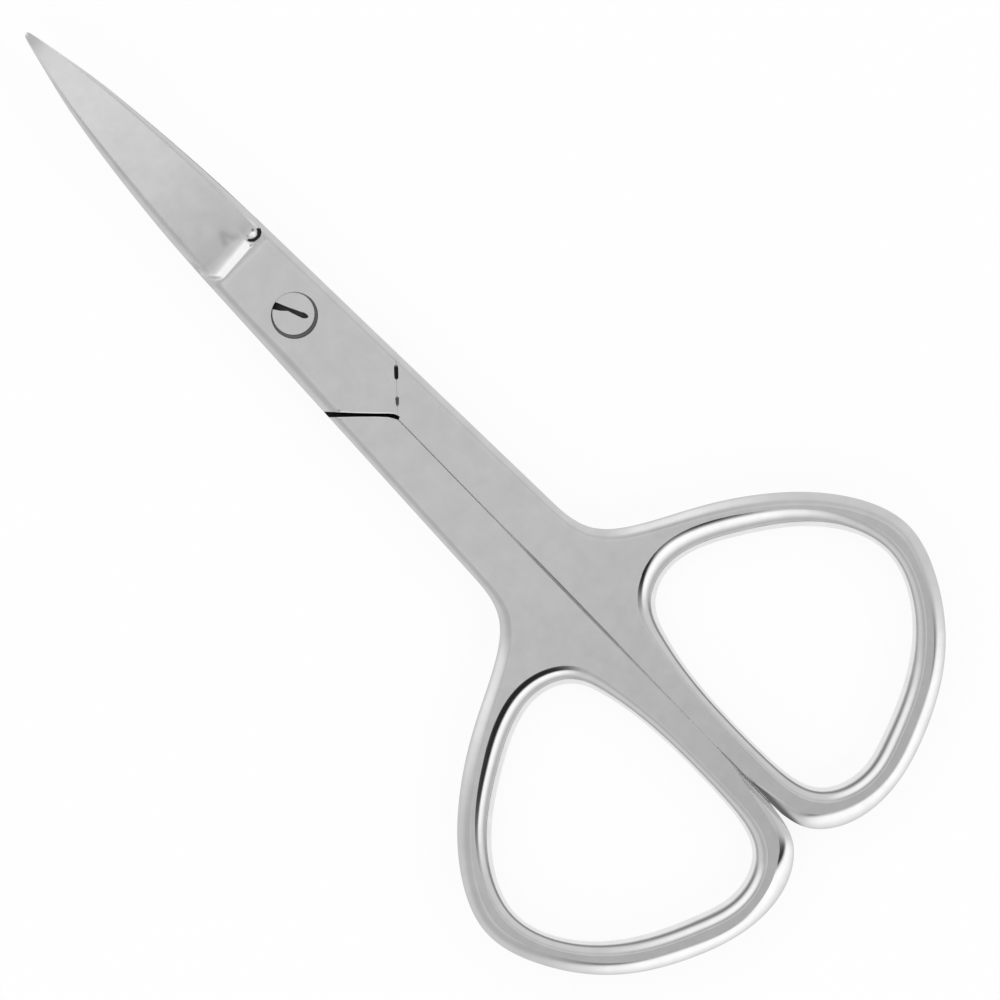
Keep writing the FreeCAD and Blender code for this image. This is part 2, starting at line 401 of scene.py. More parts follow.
def legLine(side, shift):
    # one leg of the V, the left for side -1, moved square to itself by shift towards the pivot
    apex = np.array([0, -vee["apexDepth"]])
    end = np.array([side * sideAt(-vee["sideDepth"]), -vee["sideDepth"]])
    way = (end - apex) / np.linalg.norm(end - apex)
    inward = np.array([-side * way[1], side * way[0]])
    return apex + inward * shift, end + way * vee["reach"] + inward * shift


def closingAt(height):
    # the closing face leans, so that no light falls through between the two halves
    return half["closingFace"] + half["closingLean"] * (height - half["thick"] / 2)


def shankRoom():
    # all that lies beyond the closing face and below the left leg
    apex, reach = legLine(-1, vee["gap"] / 2)
    way = reach - apex
    far = cut["far"]
    rings = []
    for height in (cut["low"], cut["high"]):
        corner = apex + way * ((closingAt(height) - apex[0]) / way[0])
        rings.append([(closingAt(height), -far), corner, reach, (-far, reach[1]), (-far, -far)])
    return block("shankRoom", rings[0], cut["low"], cut["high"], rings[1])


def lapRoom():
    # under the split, all that lies above the right leg; only a hair is left to the mating half's lap,
    # so that no hole stays at the apex
    apex, reach = legLine(1, vee["gap"] / 2 - vee["hair"])
    low = apex - (reach - apex)
    far = cut["far"]
    corners = [low, reach, (far, reach[1]), (far, far), (-far, far), (-far, low[1])]
    return block("lapRoom", corners, cut["low"], half["thick"] / 2 + half["lapGap"] / 2)


def frontRoom():
    # all in front of the plate's end
    far = cut["far"]
    y = half["frontEnd"]
    return block("frontRoom", [(-far, y), (far, y), (far, far), (-far, far)], cut["low"], cut["high"])


def sideways(path):
    # unit vectors square to the way of a path, to its left
    way = np.gradient(path, axis=0)
    way /= np.linalg.norm(way, axis=1)[:, None]
    return np.stack([-way[:, 1], way[:, 0]], axis=1)


def groove(name, path, halfWidth, depth, height):
    # triangular section carried along a path in a face: halfWidth wide each way in the face itself, with its
    # point depth under the face; a negative depth is for the underside
    across = sideways(path) * 2 * np.reshape(halfWidth, (-1, 1))
    depth = np.zeros(len(path)) + depth
    left = np.column_stack([path + across, height + depth])
    right = np.column_stack([path - across, height + depth])
    point = np.column_stack([path, height - depth])
    points = np.stack([left, right, point], axis=1)
    flip = depth[0] < 0
    faces = gridFaces(len(path), 3, 0, flip).tolist()
    last = 3 * (len(path) - 1)
    ends = [[2, 1, 0], [last, last + 1, last + 2]]
    faces += [face[::-1] for face in ends] if flip else ends
    return meshFrom(name, points.reshape(-1, 3), faces)


def along(knots, count):
    # points spread evenly along straight lines through the knots, with the other columns in step
    steps = np.concatenate([[0], np.cumsum(np.linalg.norm(np.diff(knots[:, :2], axis=0), axis=1))])
    place = np.linspace(0, steps[-1], count)
    return np.stack([np.interp(place, steps, column) for column in knots.T], axis=1)


def ribbon(name, knots, count, low, high):
    # upright slab along a path, as wide on each side as the third column of its knots
    line = along(knots, count)
    across = sideways(line[:, :2]) * line[:, 2:3]
    corners = np.vstack([line[:, :2] - across, (line[:, :2] + across)[::-1]])
    return block(name, corners, low, high)


def combined(body, tools, operation):
    # the body with each tool cut from it or joined to it, as one closed mesh
    for tool in tools:
        change = body.modifiers.new("change", "BOOLEAN")
        change.operation = operation
        change.solver = "MANIFOLD"
        change.object = tool
    depsgraph = bpy.context.evaluated_depsgraph_get()
    mesh = bpy.data.meshes.new_from_object(body.evaluated_get(depsgraph))
    for thing in [body] + tools:
        bpy.data.objects.remove(thing)
    return shown("body", mesh)


def closingGroove(name, column, height, turn):
    # groove along the closing line, whose depth is a share of its half width
    count = cut["closingPoints"]
    line = np.column_stack([np.full(count, closingAt(height)), np.linspace(*closing["run"], count)])
    width = np.interp(line[:, 1], closingKnots[:, 0], closingKnots[:, column])
    return groove(name, line, width, turn * closing["slope"] * width, height)


def scoreEnds():
    return np.array([0, -vee["scoreApex"]]), np.array([sideAt(-vee["scoreSide"]), -vee["scoreSide"]])


def scoreGroove():
    # groove along the right leg's score line, whose depth is a share of its half width
    share = np.linspace(0, 1, cut["scorePoints"])
    apex, end = scoreEnds()
    end = end + vee["scoreOut"]
    width = np.interp(share, scoreKnots[:, 0], scoreKnots[:, 1])
    path = apex + share[:, None] * (end - apex)
    return groove("score", path, width, width * vee["scoreSlope"], half["thick"])


def blank(crease):
    # plate of the upper half, cut back from the mating half's room, with the rims of one of the rings
    mirrored = legKnots * (-1, 1, 1)
    many, low, high = cut["legPoints"], cut["low"], cut["high"]
    leg, otherLeg = along(legKnots, many), along(mirrored, many)
    worn = leg[:, 2] + vee["wornEdge"]
    slope = vee["wornSlope"]
    floorLeg = mirrored[:vee["floorKnots"]][::-1]
    tools = [
        shankRoom(),
        lapRoom(),
        frontRoom(),
        ribbon("leftLeg", legKnots, many, half["thick"] - vee["legDepth"], high),
        ribbon("rightLeg", mirrored[::-1], many, low, vee["legDepth"]),
        ribbon("rightFloor", floorLeg, cut["floorPoints"], low, half["thick"] / 2 + vee["floorSink"]),
        groove("wornTop", leg[:, :2], worn, slope * worn, half["thick"]),
        groove("wornFoot", otherLeg[:, :2], worn, -slope * worn, 0.0),
        closingGroove("closingTop", 1, half["thick"], 1),
        closingGroove("closingFoot", 2, 0.0, -1),
        scoreGroove(),
    ]
    return combined(roundedPlate(crease), tools, "DIFFERENCE")


# Front piece: the end of the joint, the ricasso and the blade

blade = {
    "start": 7.083,
    "reach": 30.3,
    "rootThick": 1.15,
    "tipThick": 0.45,
    "rise": 4.0,
    "tipSide": 0.3,
    "edgeSetBack": 0.05,
    "edgeThickShare": 0.88,
    "edgeClearance": 0.02,
    "faceRelief": 0.04,
    "hollowDepth": 0.05,
    "spineBand": 1.05,
    "edgeBand": 0.7,
    "edgeTilt": 24.0,
    "skin": 0.003,              # how far the front piece lies under the plate's faces
    "changeRun": (-0.9, 0.3),   # run round the start over which the joint's section becomes the blade's
    "leanRun": 5.0,             # how far from the start the ground face leans fully
    "tipRound": 0.3,            # length of the rounded tip, and how far it would reach
    "tipReach": 0.36,
    "tipLeast": 0.02,
    "tipRun": 0.35,             # length of the close rows at the tip
    "spinePower": 1.2,
    "burrShare": 0.6,           # share of the ground face beside the spine that has the wider cells
    "cells": (30, 44),          # cells across that part and across the rest
    "innerColumns": 9,
    "widthSlopes": ((1, -0.35), (1, -2.2)),     # directions of the width's curve at its two ends
    "curvePoints": 400,
}

# Rows of the front piece along Y: where each run starts, and how many rows it has up to the next run or the tip
rowRuns = [
    (5.0, 4),
    (5.4, 52),
    (7.7, 14),
    (9.0, 84),
    (blade["reach"] - blade["tipRun"], 10),
]

# Width of the blade: share of the way to the tip and share of the width at the root
bladeKnots = np.array([
    (0.000, 1.000),
    (0.140, 0.950),
    (0.320, 0.853),
    (0.520, 0.705),
    (0.700, 0.530),
    (0.860, 0.300),
    (0.955, 0.150),
    (1.000, 0.060),
])

# Ricasso: the polished step behind the ground face of the blade
ricasso = {
    "start": 5.83,
    "tilt": 0.09,
    "drop": 0.25,
    "hollowDrop": 0.2,
    "leftEnd": -2.0,            # the slanting line at its left: where it crosses leftHeight, and its lean
    "leftHeight": 6.0,
    "leftLean": 0.72,
    "leftRun": (5.8, 6.8),
    "leftStretch": 4.0,         # how much longer the step is at the sides, and over which distance it changes
    "leftChange": 0.9,
    "rightEnd": 1.2,
    "rightStretch": 2.0,
    "rightChange": 1.0,
}

# Slope of the step at the ricasso by the distance from its start
stepSlope = np.array([
    (0.00, 0.00),
    (0.10, 0.12),
    (0.22, 0.32),
    (0.40, 0.37),
    (0.55, 0.31),
    (0.80, 0.15),
    (1.05, 0.09),
    (1.30, 0.04),
    (1.70, 0.00),
])

# Slope of the hollow after it by the place along Y
hollowSlope = np.array([
    (5.80, 0.000),
    (6.60, 0.085),
    (8.00, 0.080),
    (9.50, 0.045),
    (11.00, 0.000),
])

# Burr at the right end of the ricasso
burr = {
    "hookDepth": 0.07,
    "hookEdge": (1.15, 0.75),           # shares of the half width between which the dark hook fades
    "markEdge": (1.6, 0.6),
    "mound": (2.04, 6.44),
    "moundSpread": (0.28, 0.24),
    "moundHeight": 0.09,
    "points": 40,
}

# Path of its hook with half widths, and small marks beside it: place, size and strength; the hook and the marks
# are painted dark as a dark reflection
hookKnots = np.array([
    (1.50, 6.60, 0.09),
    (1.60, 6.46, 0.13),
    (1.80, 6.31, 0.15),
    (2.08, 6.25, 0.14),
    (2.34, 6.28, 0.15),
    (2.52, 6.42, 0.19),
    (2.64, 6.56, 0.17),
    (2.60, 6.72, 0.07),
])
hookMarks = np.array([
    (2.29, 6.93, 0.10, 0.60),
    (1.66, 6.86, 0.07, 0.35),
    (1.30, 6.14, 0.09, 0.30),
])


def bladeWidthShare(along):
    # smooth curve through the knots of the blade's width
    curve = smoothCurve(bladeKnots, blade["curvePoints"], np.array(blade["widthSlopes"]))
    return np.interp(along, curve[:, 0], curve[:, 1])


def hookShare(x, y):
    # 1 on the dark hook and its marks, falling to 0 beside them
    line = along(hookKnots, burr["points"])
    away = np.hypot(x[..., None] - line[:, 0], y[..., None] - line[:, 1]) / line[:, 2]
    share = levelStep(*burr["hookEdge"], away.min(axis=-1))
    for markX, markY, size, strength in hookMarks:
        mark = levelStep(*burr["markEdge"], np.hypot(x - markX, y - markY) / size)
        share = np.maximum(share, strength * mark)
    return share


def summedSlope(table, drop, place):
    # the slopes of a table, summed up along it and scaled to end at the drop
    steps = np.linspace(table[0, 0], table[-1, 0], blade["curvePoints"])
    slope = np.interp(steps, table[:, 0], table[:, 1])
    depth = np.concatenate([[0], np.cumsum((slope[1:] + slope[:-1]) / 2)])
    return drop * np.interp(place, steps, depth / depth[-1])


def leftOfRicasso(x, y):
    # distance in X to the left of the slanting line where the step ends
    height = np.clip(y, *ricasso["leftRun"]) - ricasso["leftHeight"]
    return ricasso["leftEnd"] - ricasso["leftLean"] * height - x


def ricassoDepth(x, y):
    # the step, stretched out beyond a slanting line at its left and near its right side, and the long hollow
    # after it
    nearLeft = levelStep(0, ricasso["leftChange"], leftOfRicasso(x, y))
    nearRight = levelStep(0, ricasso["rightChange"], x - ricasso["rightEnd"])
    start = ricasso["start"] + ricasso["tilt"] * x
    stretch = 1 + ricasso["leftStretch"] * nearLeft + ricasso["rightStretch"] * nearRight
    step = summedSlope(stepSlope, ricasso["drop"], (y - start) / stretch)
    return step + summedSlope(hollowSlope, ricasso["hollowDrop"], y)


def bump(x, y, middle, spread, power=2):
    # 1 at the middle, falling off evenly to all sides as the exponential of minus the distance to a power
    return np.exp(-((x - middle[0]) / spread[0]) ** power - ((y - middle[1]) / spread[1]) ** power)


def burrDepth(x, y):
    # the dark hook lies deeper than the step, and a small bright mound stands between its arms
    mound = bump(x, y, burr["mound"], burr["moundSpread"])
    return burr["hookDepth"] * hookShare(x, y) - burr["moundHeight"] * mound


def frontRows():
    ends = [start for start, count in rowRuns[1:]] + [blade["reach"]]
    runs = [np.linspace(start, end, count)[:-1] for (start, count), end in zip(rowRuns, ends)]
    return np.concatenate(runs + [ends[-1:]])


def frontPiece(side):
    # sections across the blade, one for each row: the wall and round rim of the spine, the ground face,
    # the rim or bevel of the edge, its wall and the inner face; all lifted and moved aside along a parabola
    y = frontRows()[:, None]
    run = np.clip((y - blade["start"]) / (blade["reach"] - blade["start"]), 0, 1)
    back, ahead = blade["changeRun"]
    onBlade = levelStep(back, ahead, y - blade["start"])
    pastRound = levelStep(0, blade["tipReach"], y - blade["reach"] + blade["tipRound"])
    tip = np.sqrt(np.clip(1 - pastRound ** 2, blade["tipLeast"], 1))
    share = bladeWidthShare(run)
    root = sideAt(np.minimum(y, blade["start"]))
    halfWidth = root * share * tip
    right = halfWidth - onBlade * blade["edgeSetBack"] * (1 - run) * share
    bladeThick = blade["rootThick"] + (blade["tipThick"] - blade["rootThick"]) * run
    spineBand = rim["leftBand"] + (blade["spineBand"] - rim["leftBand"]) * onBlade
    spineBand = spineBand * share ** blade["spinePower"] * tip
    edgeBand = (rim["shankBand"] + (blade["edgeBand"] - rim["shankBand"]) * onBlade) * share * tip
    edgeTilt = np.radians(rim["outerTilt"] + (blade["edgeTilt"] - rim["outerTilt"]) * onBlade)
    edgeTop = blade["edgeThickShare"] * bladeThick
    lean = (bladeThick - edgeTop) * levelStep(back, blade["leanRun"], y - blade["start"])

    spineInset, spineDown = roundRim(spineBand[:, 0], 0.0, math.radians(rim["outerTilt"]))
    edgeInset, edgeDown = roundRim(edgeBand[:, 0], 0.0, edgeTilt[:, 0])
    spineAcross = spineInset.T[:, ::-1] - halfWidth
    spineDown = spineDown.T[:, ::-1]
    wide, fine = blade["cells"]
    border = blade["burrShare"]
    cells = np.concatenate([np.linspace(0, border, wide)[:-1], np.linspace(border, 1, fine)])[None, 1:-1]
    flatAcross = (spineBand - halfWidth) + (right - edgeBand + halfWidth - spineBand) * cells
    edgeAcross = right - edgeInset.T
    edgeDown = edgeDown.T
    across = np.concatenate([spineAcross, flatAcross, edgeAcross], axis=1)
    down = np.concatenate([spineDown, 0 * flatAcross, edgeDown], axis=1)

    step = ricassoDepth(across, y) + (burrDepth(across, y + 0 * across) if side > 0 else 0)
    base = half["thick"] / 2 - step - blade["skin"] - (blade["rootThick"] - bladeThick)
    leanShare = np.clip((across + halfWidth - spineBand) / (right - edgeBand + halfWidth - spineBand), 0, 1)
    up = base - down - lean * leanShare

    inside = np.linspace(0, 1, blade["innerColumns"])[None, :]
    fromEdge = (right + halfWidth) * inside
    lowAcross = right - fromEdge
    lap = half["lapGap"] / 2 + blade["skin"]
    ground = blade["edgeClearance"] + blade["faceRelief"] * fromEdge
    ground = ground + blade["hollowDepth"] * np.sqrt(share) * 4 * inside * (1 - inside)
    low = lap + onBlade * (ground - lap)
    across = np.concatenate([across, lowAcross], axis=1)
    up = np.concatenate([up, low], axis=1)

    shrink = 1 - blade["skin"] / half["rootHalfWidth"] * (1 - onBlade)
    x = blade["tipSide"] * run ** 2 + side * across * shrink
    z = half["thick"] / 2 + blade["rise"] * run ** 2 + side * up
    points = np.stack([x, y + 0 * x, z], axis=2)
    return meshFrom("frontPiece", points.reshape(-1, 3), closedGrid(*x.shape))


# Pivot screw and its holes

screw = {
    "headDiameter": 3.34,
    "headThick": 0.85,
    "headClearance": 0.01,
    "headSink": 0.04,
    "seatGap": 0.02,
    "headRound": 0.02,
    "wornRing": 0.15,                   # width and depth of the worn ring round the head, painted dark as shade
    "wornDepth": 0.12,
    "wornCorner": 0.03,
    "wornAside": (-0.03, -0.15),        # it lies a little off the axis, towards the rings
    "slotDepth": 0.42,
    "journal": 2.4,
    "thread": 2.0,
    "holeGap": 0.03,
    "countersink": 0.1,
    "leadIn": 0.15,
    "around": 180,
    "roundPoints": 7,
    "slotPoints": 40,
}

# Knots along the worn slot: place and half width
slotKnots = np.array([
    (-0.86, 1.84, 0.30),
    (-0.60, 1.44, 0.30),
    (-0.38, 1.03, 0.25),
    (-0.03, 0.52, 0.14),
    (0.14, 0.10, 0.18),
    (0.32, -0.33, 0.20),
    (0.46, -0.63, 0.23),
    (0.58, -0.86, 0.17),
    (0.66, -0.99, 0.07),
])


def turnedBody(name, profile, centre=(0, 0)):
    # profile of radius and height turned once round an upright axis, closed by its first and last ring
    profile = np.array(profile, dtype=float)
    angle = np.linspace(0, 2 * math.pi, screw["around"], endpoint=False)
    x = centre[0] + profile[:, :1] * np.cos(angle)
    y = centre[1] + profile[:, :1] * np.sin(angle)
    z = profile[:, 1:] + 0 * angle
    points = np.stack([x, y, z], axis=2)
    return meshFrom(name, points.reshape(-1, 3), closedGrid(*x.shape))


def upperHoles():
    # bore of the journal, counterbore of the head and the worn ring round it
    bore = screw["journal"] / 2 + screw["holeGap"]
    wide = screw["headDiameter"] / 2 + screw["headClearance"]
    worn = screw["headDiameter"] / 2 + screw["wornRing"]
    corner = screw["wornCorner"]
    top, low, high = half["thick"], cut["low"], cut["high"]
    seat = top - screw["headSink"] - screw["headThick"] - screw["seatGap"]
    foot = top - screw["wornDepth"]
    profile = [
        (worn - corner, foot),
        (worn, foot + corner),
        (worn, top - corner),
        (worn + corner, top),
        (worn + corner, high),
    ]
    return [
        turnedBody("bore", [(bore, low), (bore, high)]),
        turnedBody("counterbore", [(wide, seat), (wide, high)]),
        turnedBody("wornRing", profile, screw["wornAside"]),
    ]


def lowerHoles():
    # threaded hole with a small countersink at the underside
    bore = screw["thread"] / 2 + screw["holeGap"]
    sink = screw["countersink"]
    profile = [(bore + sink, cut["low"]), (bore + sink, 0), (bore, sink), (bore, cut["high"])]
    return [turnedBody("lowerHole", profile)]


def pivotScrew():
    # thread, journal and head turned as one body, with the worn slot cut into it
    top = half["thick"] - screw["headSink"]
    low = top - screw["headThick"]
    head, journal, thread = screw["headDiameter"] / 2, screw["journal"] / 2, screw["thread"] / 2
    split = half["thick"] / 2 - half["lapGap"] / 2
    lead, edge = screw["leadIn"], screw["headRound"]
    angle = np.linspace(0, math.pi / 2, screw["roundPoints"])
    worn = np.column_stack([head - edge + edge * np.cos(angle), top - edge + edge * np.sin(angle)])
    profile = [(thread - lead, 0), (thread, lead), (thread, split), (journal, split)]
    profile += [(journal, low), (head, low)]
    body = turnedBody("screwBody", profile + worn.tolist())
    slot = ribbon("slot", slotKnots, screw["slotPoints"], top - screw["slotDepth"], cut["high"])
    return combined(body, [slot], "DIFFERENCE")


# Materials

steel = {
    "colour": 0.78,
    # flat faces are painted lighter than the rims, as painted light
    "paintedLightFaceColour": 0.88,
    "farPaintedShade": 0.13,       # painted shade: how much darker the flat faces are painted at the ends of the rings
    "blotchChange": 0.13,       # how much the colour changes from spot to spot
    "blotchScale": 0.8,         # blotches and grains for each millimetre, and scratches for each metre
    "grainScale": 12.0,
    "scratchScale": (9000, 500, 9000),
    "unevenChange": 0.012,      # how much the roughness changes from grain to grain
    "faceRoughness": 0.2,
    "lapRoughness": 0.35,
    "bladeRoughness": 0.58,
    "rimRoughness": 0.1,
    "grainHeight": 0.00000012,
    "scratchHeight": 0.0000004,
    # colour, roughness and gloss of the painted shade in gaps, pits and hollows
    "paintedShadeColour": 0.02,
    "paintedShadeRoughness": 0.6,
    "paintedShadeGloss": 0.15,
}

# Pairs of places between which a finish changes, and tilts in degrees
finish = {
    "bladeRun": (5.4, 5.7),
    "bladeTilt": (0.06, 0.25),          # sine of the tilt
    "satinRun": (5.6, 6.4),
    "shadeRun": (6.6, 7.0),
    "farRun": (25, 62),
    "lapDepth": 0.5,                    # level faces deeper than this are the lap
    "stepRun": (5.6, 5.8),              # the polish of the ricasso's step, from its slanting line on
    "leftLine": (-0.05, 0.1),
    "leftFade": (12, 9),
    "leftRim": (-2.65, -2.85),
    "leftRimRun": (6.9, 7.6),
    "rightLine": (0.1, 0.4),
    "rightRim": (2.7, 2.5),
    "rightFade": (9.6, 8.6),
    "brightSpot": ((2.02, 6.62), (0.32, 0.26), 4),      # between the burr's arms: middle, spread, power
    "levelSpread": 0.0002,              # greatest difference of height within a level face
    "nearSpread": 0.003,
    "upright": 0.99995,
    "gentleTilt": 9,
    "creaseTilt": 30,
    "sharpEdge": 30,
}

# Painted shade of the pieces in their gaps, pits and hollows: where it lies and how dark it is
shadePaint = {
    "surface": 0.01,                    # depth of an uncut face, and of a shallow mark
    "shallow": 0.4,
    "legRun": (-13, -4),                # the V's legs, with less painted shade on their steep walls
    "legSide": 5,
    "legReach": 0.42,
    "steep": 0.5,
    "wallStrength": 0.3,
    "apexSide": 0.3,
    "points": 60,
    "seamReach": 0.35,                  # the closing line
    "seamEnd": -11.2,
    "seamUpright": 0.1,
    "scoreReach": 0.25,                 # the pits on the right leg
    "scoreSide": 0.05,
    "scoreUpright": (0.3, 0.995),
    "boreRadius": (1.5, 2.1),           # the ring round the screw, its head and its slot
    "boreHeight": 1.8,
    "headRadius": 1.4,
    "slotRadius": 1.6,
    "slotLeast": 0.9,
    "slotRun": (0.6, 1.2),
    "flankStrength": 0.8,               # the closing line's end between the rings
    "flankUpright": 0.997,
    "flankTop": -46,
    "flankAcross": (0.75, 0.35),
    "flankRun": (-57.8, -57.0),
    "flankFade": (-46.5, -49),
    "burrTop": 8,                       # the burr's hook, painted dark as a dark reflection
    "burrHeight": 2,
    "burrSide": (1, 3),
}

# Colour of the blade's ground face by the height along Y, painted darker and lighter in place of its
# reflection, and painted shade round the screw by the angle in degrees
bladePaintedShade = np.array([
    (6.7, 0.80), (7.4, 0.68), (9.0, 0.76), (12.0, 0.84), (15.0, 0.91),
    (22.0, 0.97), (26.0, 0.97), (28.5, 0.88), (29.2, 0.72), (30.3, 0.60),
])
ringPaintedShade = np.array([
    (0, 0.75), (12, 0.5), (25, 0.3), (56, 0.15), (62, 0.0), (100, 0.0),
    (112, 0.8), (150, 0.8), (225, 0.8), (270, 0.85), (345, 0.8), (360, 0.75),
])

# Path of a faint painted dark reflection on the blade, with its half width and how much it darkens
darkReflectionKnots = np.array([(0.00, 7.70), (0.38, 8.45), (0.62, 7.80), (1.15, 7.15)])
darkReflection = {"halfWidth": 0.26, "darkening": 0.14, "points": 30}


def addNode(tree, kind, inputs=None, **settings):
    # a node with its settings, whose inputs are numbers or the outputs of other nodes
    node = tree.nodes.new(kind)
    for key, value in settings.items():
        setattr(node, key, value)
    for key, value in (inputs or {}).items():
        if isinstance(value, bpy.types.NodeSocket):
            tree.links.new(value, node.inputs[key])
        else:
            node.inputs[key].default_value = value
    return node


def calc(tree, operation, *values):
    return addNode(tree, "ShaderNodeMath", dict(enumerate(values)), operation=operation).outputs[0]


def blend(tree, share, low, high):
    # low where the share is 0 and high where it is 1
    return addNode(tree, "ShaderNodeMix", {0: share, 2: low, 3: high}).outputs[0]


def attribute(tree, name):
    return addNode(tree, "ShaderNodeAttribute", attribute_name=name).outputs["Fac"]


def noise(tree, place, scale, detail):
    return addNode(tree, "ShaderNodeTexNoise", {"Vector": place, "Scale": scale, "Detail": detail}).outputs[0]


def steelMaterial(name):
    # steel whose colour, roughness and painted shade follow the attributes of its faces, with soft blotches,
    # fine grain and light scratches along the scissors
    material = bpy.data.materials.new(name)
    material.use_nodes = True
    tree = material.node_tree
    shader = tree.nodes["Principled BSDF"]
    shader.inputs["Specular IOR Level"].default_value = steel["paintedShadeGloss"]
    place = addNode(tree, "ShaderNodeTexCoord").outputs["Object"]
    inMm = addNode(tree, "ShaderNodeMapping", {0: place, 3: (1 / metre,) * 3}).outputs[0]
    drawn = addNode(tree, "ShaderNodeMapping", {0: place, 3: steel["scratchScale"]}).outputs[0]
    blotch = noise(tree, inMm, steel["blotchScale"], 3.0)
    grain = noise(tree, inMm, steel["grainScale"], 2.0)
    scratch = noise(tree, drawn, 1.0, 2.0)
    rough, paintedShade = attribute(tree, "roughness"), attribute(tree, "paintedShade")
    # painted shade: where it lies, the steel turns dark and dull and is no longer metal
    tree.links.new(calc(tree, "SUBTRACT", 1.0, paintedShade), shader.inputs["Metallic"])
    change = calc(tree, "MULTIPLY", calc(tree, "SUBTRACT", blotch, 0.5), steel["blotchChange"])
    shade = calc(tree, "ADD", attribute(tree, "shade"), change)
    shade = blend(tree, paintedShade, calc(tree, "MINIMUM", shade, 1.0), steel["paintedShadeColour"])
    colour = addNode(tree, "ShaderNodeCombineColor", {0: shade, 1: shade, 2: shade}).outputs[0]
    tree.links.new(colour, shader.inputs["Base Color"])
    uneven = calc(tree, "MULTIPLY", calc(tree, "SUBTRACT", grain, 0.5), steel["unevenChange"])
    dulled = blend(tree, paintedShade, calc(tree, "ADD", rough, uneven), steel["paintedShadeRoughness"])
    tree.links.new(dulled, shader.inputs["Roughness"])
    grained = addNode(tree, "ShaderNodeBump", {"Height": grain, "Distance": steel["grainHeight"]})
    scratched = addNode(tree, "ShaderNodeBump", {"Height": scratch, "Distance": steel["scratchHeight"]})
    tree.links.new(grained.outputs[0], scratched.inputs["Normal"])
    tree.links.new(scratched.outputs[0], shader.inputs["Normal"])
    return material


def readAll(items, key, width, kind=float):
    values = np.empty(len(items) * width, dtype=kind)
    items.foreach_get(key, values)
    return values.reshape(-1, width) if width > 1 else values


def between(value, low, high):
    return (value > low) & (value < high)


def paintedShadeOfHalf(place, middle, normal, level):
    # painted shade in the gaps, pits and hollows of a half, and a painted dark reflection on the burr's hook: u
    # is the side seen from the nearer face, depth the distance under that face
    onTop = middle[:, 2] > half["thick"] / 2
    u = place[:, 0] * np.where(onTop, 1, -1)
    y = place[:, 1]
    depth = np.minimum(middle[:, 2], half["thick"] - middle[:, 2])
    flat = np.abs(normal[:, 2])
    carved = ~(level & (depth < shadePaint["surface"])) & (middle[:, 1] < half["frontEnd"])
    near = carved & (depth < shadePaint["shallow"])
    paintedShade = np.zeros(len(place))

    # painted shade in the V's legs
    line = along(legKnots, shadePaint["points"])[:, :2]
    legs = np.vstack([line, line * (-1, 1)])
    side = np.abs(place[:, 0])
    at = np.flatnonzero(carved & between(y, *shadePaint["legRun"]) & (side < shadePaint["legSide"]))
    away = np.hypot(place[at, :1] - legs[:, 0], y[at, None] - legs[:, 1]).min(axis=1)
    wall = flat[at] < shadePaint["steep"]
    strength = np.where(wall & (side[at] > shadePaint["apexSide"]), shadePaint["wallStrength"], 1.0)
    paintedShade[at] = np.where((away < shadePaint["legReach"]) & (wall | (depth[at] > shadePaint["shallow"])), strength, 0)

    # painted shade along the closing line
    seam = near & ~level & (flat > shadePaint["seamUpright"]) & (np.abs(u) < shadePaint["seamReach"])
    seam &= middle[:, 1] < shadePaint["seamEnd"]
    strength = np.interp(y, closingKnots[:, 0], closingKnots[:, 3])
    paintedShade = np.maximum(paintedShade, np.where(seam, strength, 0))

    # painted shade in the pits of the score line
    apex, end = scoreEnds()
    length = np.linalg.norm(end - apex)
    way = (end - apex) / length
    forward = (u - apex[0]) * way[0] + (y - apex[1]) * way[1]
    aside = np.abs((u - apex[0]) * way[1] - (y - apex[1]) * way[0])
    score = near & onTop & between(flat, *shadePaint["scoreUpright"])
    score &= (aside < shadePaint["scoreReach"]) & (u > shadePaint["scoreSide"])
    strength = np.interp(forward / length, scoreKnots[:, 0], scoreKnots[:, 2])
    paintedShade = np.maximum(paintedShade, np.where(score, strength, 0))

    # painted shade in the ring round the screw, darker on some sides than on others
    radius = np.hypot(place[:, 0], place[:, 1])
    bore = carved & between(radius, *shadePaint["boreRadius"]) & (middle[:, 2] > shadePaint["boreHeight"])
    paintedShade = np.maximum(paintedShade, np.where(bore, ringPaintedShadeAt(place), 0))

    # painted shade at the closing line's end between the rings
    flank = near & (flat < shadePaint["flankUpright"]) & (u > 0) & (y < shadePaint["flankTop"])
    strength = shadePaint["flankStrength"] * levelStep(*shadePaint["flankAcross"], u)
    strength = strength * levelStep(*shadePaint["flankRun"], y) * levelStep(*shadePaint["flankFade"], y)
    paintedShade = np.maximum(paintedShade, np.where(flank, strength, 0))

    # the burr's hook and its marks are painted dark as a dark reflection
    onBlade = (middle[:, 1] > half["frontEnd"]) & (y < shadePaint["burrTop"]) & (middle[:, 2] > shadePaint["burrHeight"])
    at = np.flatnonzero(onBlade & between(u, *shadePaint["burrSide"]))
    paintedShade[at] = hookShare(u[at], y[at])
    return paintedShade


def ringPaintedShadeAt(place):
    # how dark the ring round the screw is painted at the angle of a place, as painted shade that is darker on
    # some sides
    angle = np.degrees(np.arctan2(place[:, 1], place[:, 0])) % 360
    return np.interp(angle, ringPaintedShade[:, 0], ringPaintedShade[:, 1])


